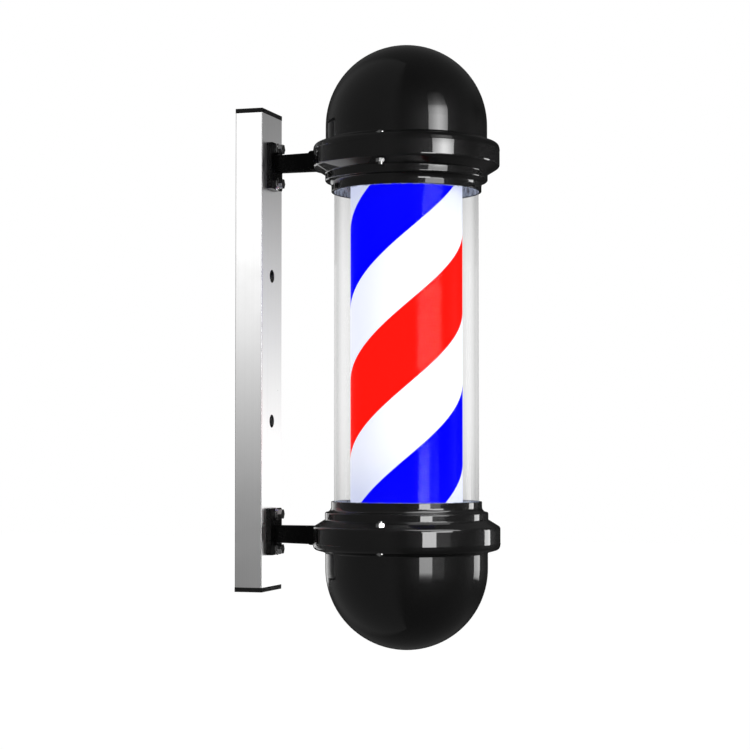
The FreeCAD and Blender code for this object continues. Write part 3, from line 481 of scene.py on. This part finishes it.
def tube_veil(tree):
    """The veil of the tube's outer skin: more at a slant, and more near its ends, which makes them darker.
    """
    facing = add(tree, "ShaderNodeLayerWeight").outputs["Facing"]
    veil = ramp(tree, facing, *((share, grey(alpha)) for share, alpha in TUBE_VEIL))
    # The veil thickens towards both ends, which darkens the tube there.
    near_end = height_share(tree, TUBE_END_DARKENING_START, COLLAR_MOUTH, "LINEAR")
    dust_and_end_darkening = combine(tree, "MULTIPLY", combine(tree, "POWER", near_end, 2.0), TUBE_END_DARKENING)
    return combine(tree, "MULTIPLY", combine(tree, "ADD", veil, dust_and_end_darkening), outer_skin(tree))


def clear_acrylic():
    """Clear extruded tube. Inside the collars it is frosted by the seals, and there it has a painted glow
    that stands in for the light that runs in its wall and comes out."""
    mat, tree, shader = new_material("clear_acrylic")
    in_collar = height_share(tree, COLLAR_MOUTH - MM, COLLAR_MOUTH + MM)
    streaks = noise(tree, object_coords(tree, (1, 1, 0.5)), scale=150, detail=6)
    streaks = spread(tree, streaks, 0.05, 0.85, start=0.42, end=0.6)
    frost = combine(tree, "MULTIPLY", in_collar, streaks)
    veil = combine(tree, "ADD", tube_veil(tree), TUBE_INNER_VEIL)
    link(tree, combine(tree, "ADD", veil, frost), shader.inputs["Alpha"])
    base = ramp(tree, in_collar, (0.0, grey(0.012)), (1.0, (0.48, 0.62, 0.72)))
    link(tree, base, shader.inputs["Base Color"])
    # Painted glow: inside the collars the tube gives off light of its own.
    glow = ramp(tree, in_collar, (0.0, grey(0.0)), (1.0, (0.20, 0.21, 0.27)))
    link(tree, glow, shader.inputs["Emission Color"])
    haze = noise(tree, object_coords(tree), scale=50)
    link(tree, spread(tree, haze, 0.015, 0.03), shader.inputs["Roughness"])
    set_inputs(shader, Emission_Strength=1.0, Specular_IOR_Level=0.38)
    return mat


# ---------------------------------------------------------------- what glows
def stripe_print(name, colour, glow, end_glow, strength):
    """Translucent print or plastic lit from inside. On the film and the drum the light is a painted glow of
    their own, which stands in for the lamp inside; on the light chips the glow is the lamp. The glow
    changes a little near the drum's ends, and its colour is faintly uneven."""
    mat, tree, shader = new_material(name)
    vector = object_coords(tree)
    ink = noise(tree, vector, scale=45, detail=6)
    darker = tuple(0.93 * value for value in colour)
    link(tree, ramp(tree, ink, (0.3, darker), (0.7, colour)), shader.inputs["Base Color"])
    uneven = spread(tree, ink, 0.0, 0.06)
    ends = combine(tree, "ADD", height_share(tree, PAINTED_GLOW_FALL_START, FILM_REACH), uneven)
    # Painted glow: the emission stands in for the light of the lamp inside, and it shifts to end_glow near
    # the drum's ends.
    link(tree, ramp(tree, ends, (0.0, glow), (1.0, end_glow)), shader.inputs["Emission Color"])
    link(tree, spread(tree, noise(tree, vector, scale=300), 0.28, 0.4), shader.inputs["Roughness"])
    set_inputs(shader, Emission_Strength=strength, Specular_IOR_Level=0.005)
    return mat


# ---------------------------------------------------------------- materials by slot
MATERIALS = {
    "gloss_black": gloss_black(),
    "arm_black": arm_black(),
    "black_plastic": moulded("black_plastic", grey(0.004), grey(0.008), 0.4),
    "black_rubber": moulded("black_rubber", grey(0.010), grey(0.018), 0.6),
    "gasket_rubber": moulded("gasket_rubber", grey(0.62), grey(0.72), 0.6),
    "white_plastic": moulded("white_plastic", grey(0.74), grey(0.82), 0.4),
    "driver_case": moulded("driver_case", grey(0.60), grey(0.68), 0.45),
    "strip_board": moulded("strip_board", grey(0.80), grey(0.88), 0.35),
    "lead_sheath": moulded("lead_sheath", grey(0.05), grey(0.08), 0.5),
    "rail_aluminium": rail_metal(),
    "post_aluminium": drawn_metal("post_aluminium", grey(0.70), grey(0.78), 0.35, (1, 1, 0.01)),
    "zinc_steel": drawn_metal("zinc_steel", (0.55, 0.56, 0.58), (0.66, 0.66, 0.64), 0.3),
    # Painted light and shade: screw_chrome and the foot screws' chrome are one chrome in two brightnesses,
    # darkened on the clamp bolts and other screws, which catch the key light, and brightened on the foot
    # screws, which catch little light.
    "screw_chrome": drawn_metal("screw_chrome", grey(0.36), grey(0.48), 0.12),
    "foot_chrome_painted_bright": drawn_metal("foot_chrome_painted_bright", grey(0.84), grey(0.94), 0.12),
    "terminal_brass": drawn_metal("terminal_brass", (0.72, 0.52, 0.20), (0.82, 0.64, 0.30), 0.25),
    "clear_acrylic": clear_acrylic(),
    "opal_acrylic": stripe_print(
        "opal_acrylic",
        colour=grey(0.85),
        glow=(0.95, 0.96, 1.0),
        end_glow=(0.8, 0.84, 1.0),
        strength=0.8,
    ),
    "light_chip": stripe_print(
        "light_chip",
        colour=(0.95, 0.88, 0.6),
        glow=(1.0, 0.97, 0.9),
        end_glow=(1.0, 0.97, 0.9),
        strength=2.0,
    ),
}
SHADES = {
    RED: stripe_print(
        "stripe_red",
        colour=(0.10, 0.001, 0.001),
        glow=(1.0, 0.008, 0.004),
        end_glow=(1.0, 0.008, 0.005),
        strength=1.18,
    ),
    WHITE: stripe_print(
        "stripe_white",
        colour=grey(0.5),
        glow=(0.77, 0.80, 0.92),
        end_glow=(0.57, 0.62, 0.84),
        strength=1.12,
    ),
    BLUE: stripe_print(
        "stripe_blue",
        colour=(0.0, 0.0, 0.10),
        glow=(0.0, 0.0, 1.0),
        end_glow=(0.0, 0.0, 1.0),
        strength=1.18,
    ),
}


def paint_frame():
    """Gives every CAD node its procedural material, by the record's slot. The stripe film's slot has
    none here, because a piece with materials of its own replaces that node."""
    slots = {part["node"]: part["material_slot"] for part in frame["record"]["subparts"]}
    for name, item in frame["nodes"].items():
        mat = MATERIALS.get("foot_chrome_painted_bright" if name in FOOT_SCREWS else slots[name])
        if mat:
            item.data.materials.clear()
            item.data.materials.append(mat)


# ---------------------------------------------------------------- pieces
def around_pole(away, azimuth, height):
    """A point at a distance from the pole's axis."""
    return (POLE.x + away * math.cos(azimuth), POLE.y + away * math.sin(azimuth), height)


def finish_piece(bm, name, body, node, materials):
    """Turns a bmesh into a piece that stands for a CAD node."""
    bmesh.ops.recalc_face_normals(bm, faces=bm.faces)
    mesh = bpy.data.meshes.new(name)
    bm.to_mesh(mesh)
    bm.free()
    item = bpy.data.objects.new(name, mesh)
    bpy.context.scene.collection.objects.link(item)
    for mat in materials:
        mesh.materials.append(mat)
    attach(item, body)
    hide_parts(node)
    return item


def shade_at(share):
    """Which shade a share of the lead has, with the red stripe's middle at 0."""
    if min(share, 1 - share) < STRIPE_HALF_SHARE:
        return RED
    if abs(share - 0.5) < STRIPE_HALF_SHARE:
        return BLUE
    return WHITE


def film_shares():
    """Where the film's columns are, as shares of the lead. Each stripe's edges have one each."""
    even = {round(column / FILM_COLUMNS, 6) for column in range(FILM_COLUMNS)}
    red_edges = {STRIPE_HALF_SHARE, 1 - STRIPE_HALF_SHARE}
    blue_edges = {0.5 - STRIPE_HALF_SHARE, 0.5 + STRIPE_HALF_SHARE}
    return sorted(even | red_edges | blue_edges)


def film_skin(bm, radius, shares):
    """The film's rows of points at one radius, from the bottom up. Each row is turned with the
    helix."""
    skin = []
    for row in range(FILM_ROWS + 1):
        height = FILM_REACH * (2 * row / FILM_ROWS - 1)
        ring = []
        for share in shares:
            azimuth = STRIPE_FACING + 2 * math.pi * (height / STRIPE_LEAD - share)
            ring.append(bm.verts.new(around_pole(radius, azimuth, height)))
        skin.append(ring)
    return skin


def make_stripes():
    """The printed film: its columns of faces follow the helix, so each stripe's edge is exact."""
    shares = film_shares()
    bm = bmesh.new()
    outer = film_skin(bm, FILM_RADIUS, shares)
    inner = film_skin(bm, FILM_INNER, shares)
    for column, share in enumerate(shares):
        following = (column + 1) % len(shares)
        next_share = shares[following] if following else 1
        shade = shade_at((share + next_share) / 2)
        for row in range(FILM_ROWS):
            for skin in (outer, inner):
                below = skin[row]
                above = skin[row + 1]
                face = bm.faces.new((below[column], below[following], above[following], above[column]))
                face.material_index = shade
                face.smooth = True
        for out, into in ((outer[0], inner[0]), (outer[-1], inner[-1])):
            face = bm.faces.new((out[column], out[following], into[following], into[column]))
            face.material_index = shade
    shades = [SHADES[RED], SHADES[WHITE], SHADES[BLUE]]
    film = finish_piece(bm, "helical_stripes", "drum", "stripe_film", shades)
    spare(film, UNLIT_BY_FILM)


# ---------------------------------------------------------------- which light falls on what
def spare(lamp, names):
    """Keeps a lamp's light off some of the CAD nodes."""
    spared = only("spared_by_" + lamp.name, names)
    for member in spared.collection_objects:
        member.light_linking.link_state = "EXCLUDE"
    lamp.light_linking.receiver_collection = spared


def only(name, nodes):
    """A collection of some of the CAD nodes. Given to a lamp as it is, it is all that the lamp
    lights."""
    chosen = bpy.data.collections.new(name)
    for node in nodes:
        chosen.objects.link(frame["nodes"][node])
    return chosen


# ---------------------------------------------------------------- stage, light and camera
def toward(tree, direction, azimuth, fade):
    """1 in the directions that lie round an azimuth, fading to 0."""
    level = add(tree, "ShaderNodeVectorMath", operation="MULTIPLY")
    link(tree, direction, level.inputs[0])
    level.inputs[1].default_value = (1, 1, 0)
    unit = add(tree, "ShaderNodeVectorMath", operation="NORMALIZE")
    link(tree, level.outputs["Vector"], unit.inputs[0])
    way = add(tree, "ShaderNodeVectorMath", operation="DOT_PRODUCT")
    link(tree, unit.outputs["Vector"], way.inputs[0])
    way.inputs[1].default_value = (math.cos(azimuth), math.sin(azimuth), 0)
    return spread(tree, way.outputs["Value"], 0.0, 1.0, *fade, "SMOOTHSTEP")


def make_world():
    """White for the camera. What the metal and the gloss mirror is a dim studio, a little brighter
    on the wall's side and darker beyond the object."""
    world = bpy.data.worlds.new("studio")
    bpy.context.scene.world = world
    world.use_nodes = True
    tree = world.node_tree
    tree.nodes.clear()
    direction = add(tree, "ShaderNodeTexCoord").outputs["Generated"]
    slant = absolute(tree, split(tree, direction)["Z"])
    level = spread(tree, slant, 0.0, 1.0, *BEYOND_SLANT_FADE, "SMOOTHSTEP")
    beyond = combine(tree, "MULTIPLY", toward(tree, direction, BEYOND_AZIMUTH, BEYOND_FADE), level)
    wall_side = toward(tree, direction, WALL_SIDE_AZIMUTH, WALL_SIDE_FADE)
    room = mixed(tree, wall_side, grey(ROOM_GREY), grey(WALL_SIDE_GREY))
    room = mixed(tree, beyond, room, grey(BEYOND_GREY))
    path = add(tree, "ShaderNodeLightPath")
    seen = mixed(tree, path.outputs["Is Camera Ray"], room, grey(1.0))
    background = add(tree, "ShaderNodeBackground")
    link(tree, seen, background.inputs["Color"])
    output = add(tree, "ShaderNodeOutputWorld")
    link(tree, background.outputs["Background"], output.inputs["Surface"])


def glowing_sheet():
    """The softboxes' cloth: each of its points glows as its own glow value says."""
    mat = bpy.data.materials.new("softbox")
    mat.use_nodes = True
    tree = mat.node_tree
    tree.nodes.clear()
    glow = add(tree, "ShaderNodeAttribute", attribute_name="glow")
    emission = add(tree, "ShaderNodeEmission")
    link(tree, glow.outputs["Fac"], emission.inputs["Strength"])
    output = add(tree, "ShaderNodeOutputMaterial")
    link(tree, emission.outputs["Emission"], output.inputs["Surface"])
    return mat


def softbox(name, cloth, rows, across=EVEN):
    """A softbox bent round the pole, SOFTBOX_AWAY from its axis. across says how its glow varies
    from one side to the other."""
    steps = len(across) - 1
    points = []
    glows = []
    for height, first, last, glow in rows:
        for step, share in enumerate(across):
            azimuth = math.radians(first + (last - first) * step / steps)
            points.append(around_pole(SOFTBOX_AWAY, azimuth, height))
            glows.append(glow * share)
    wide = len(across)
    faces = [
        (row * wide + step, row * wide + step + 1, (row + 1) * wide + step + 1, (row + 1) * wide + step)
        for row in range(len(rows) - 1)
        for step in range(steps)
    ]
    mesh = bpy.data.meshes.new(name)
    mesh.from_pydata(points, [], faces)
    mesh.attributes.new("glow", "FLOAT", "POINT").data.foreach_set("value", glows)
    mesh.materials.append(cloth)
    item = bpy.data.objects.new(name, mesh)
    item.visible_camera = False
    bpy.context.scene.collection.objects.link(item)
    item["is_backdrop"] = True
    return item


def area_light(name, width, height, radiance, place, back, receivers):
    """A soft rectangular light that faces away from back and lights some nodes only."""
    data = bpy.data.lights.new(name, "AREA")
    data.shape = "RECTANGLE"
    data.size = width
    data.size_y = height
    data.energy = radiance * math.pi * width * height
    item = bpy.data.objects.new(name, data)
    item.location = place
    item.rotation_euler = back.to_track_quat("Z", "Y").to_euler()
    item.visible_camera = False
    item.light_linking.receiver_collection = receivers
    bpy.context.scene.collection.objects.link(item)
    return item


def rail_light(name, azimuth, width, rows, rail_only):
    """An upright light that lights the rail alone. Nothing but the rail blocks it."""
    bottom = rows[0][0]
    top = rows[-1][0]
    peak = max(radiance for _, radiance in rows)
    back = Vector((math.cos(azimuth), math.sin(azimuth), 0))
    place = RAIL + back * RAIL_LIGHT_AWAY + Vector((0, 0, (top + bottom) / 2))
    item = area_light(name, width, top - bottom, peak, place, back, rail_only)
    item.light_linking.blocker_collection = rail_only
    item.data.use_nodes = True
    tree = item.data.node_tree
    position = add(tree, "ShaderNodeNewGeometry").outputs["Position"]
    level = spread(tree, split(tree, position)["Z"], 0.0, 1.0, bottom, top)
    stops = [((height - bottom) / (top - bottom), grey(radiance / peak)) for height, radiance in rows]
    link(tree, ramp(tree, level, *stops), tree.nodes["Emission"].inputs["Color"])


def overhead_light():
    """A soft light from above and in front that only the caps' lower mouldings take up."""
    away = OVERHEAD_AWAY * Vector((math.cos(OVERHEAD_AZIMUTH), math.sin(OVERHEAD_AZIMUTH), 0))
    back = away + Vector((0, 0, OVERHEAD_UP))
    receivers = only("mouldings", MOULDINGS)
    area_light("overhead", OVERHEAD_WIDTH, OVERHEAD_HEIGHT, OVERHEAD_RADIANCE, POLE + back, back, receivers)


def make_lights():
    cloth = glowing_sheet()
    softbox("key_middle", cloth, KEY_MIDDLE)
    softbox("key_high", cloth, KEY_HIGH, ROUNDED)
    softbox("key_low", cloth, KEY_LOW)
    softbox("key_low_edge", cloth, KEY_LOW_EDGE)
    edge = softbox("edge", cloth, EDGE)
    spare(edge, ["wall_rail"])
    softbox("rim", cloth, RIM)
    overhead_light()
    rail_only = only("rail_only", ["wall_rail"])
    rail_light("rail_front", RAIL_FRONT_AZIMUTH, RAIL_FRONT_WIDTH, RAIL_FRONT, rail_only)
    rail_light("rail_side", RAIL_SIDE_AZIMUTH, RAIL_SIDE_WIDTH, RAIL_SIDE, rail_only)


def make_floor():
    """A pale floor, well below the pole. It glows as white as the background, so that no edge shows
    between them, and it stays out of the gloss."""
    mat, tree, shader = new_material("floor")
    speckle = noise(tree, object_coords(tree), scale=8, detail=6)
    link(tree, ramp(tree, speckle, (0.3, grey(0.010)), (0.7, grey(0.015))), shader.inputs["Base Color"])
    set_inputs(shader, Roughness=0.9, Emission_Color=(1, 1, 1, 1), Emission_Strength=1.0)
    mesh = bpy.data.meshes.new("floor")
    half = FLOOR_HALF_WIDTH
    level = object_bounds()[0].z - FLOOR_BELOW_POLE
    corners = [(-half, -half, level), (half, -half, level), (half, half, level), (-half, half, level)]
    mesh.from_pydata(corners, [], [(0, 1, 2, 3)])
    mesh.materials.append(mat)
    floor = bpy.data.objects.new("floor", mesh)
    floor.visible_glossy = False
    floor.visible_diffuse = False
    bpy.context.scene.collection.objects.link(floor)
    floor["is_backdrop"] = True


def make_camera():
    data = bpy.data.cameras.new("camera")
    data.sensor_width = SENSOR
    data.lens = LENS
    data.clip_start = NEAREST
    data.clip_end = FURTHEST
    item = bpy.data.objects.new("camera", data)
    item.location = CAMERA_AT
    item.rotation_euler = (math.pi / 2 + CAMERA_PITCH, 0, CAMERA_TURN)
    bpy.context.scene.collection.objects.link(item)
    bpy.context.scene.camera = item


bpy.context.scene.view_settings.view_transform = "Standard"
paint_frame()
make_stripes()
make_world()
make_lights()
make_floor()
make_camera()
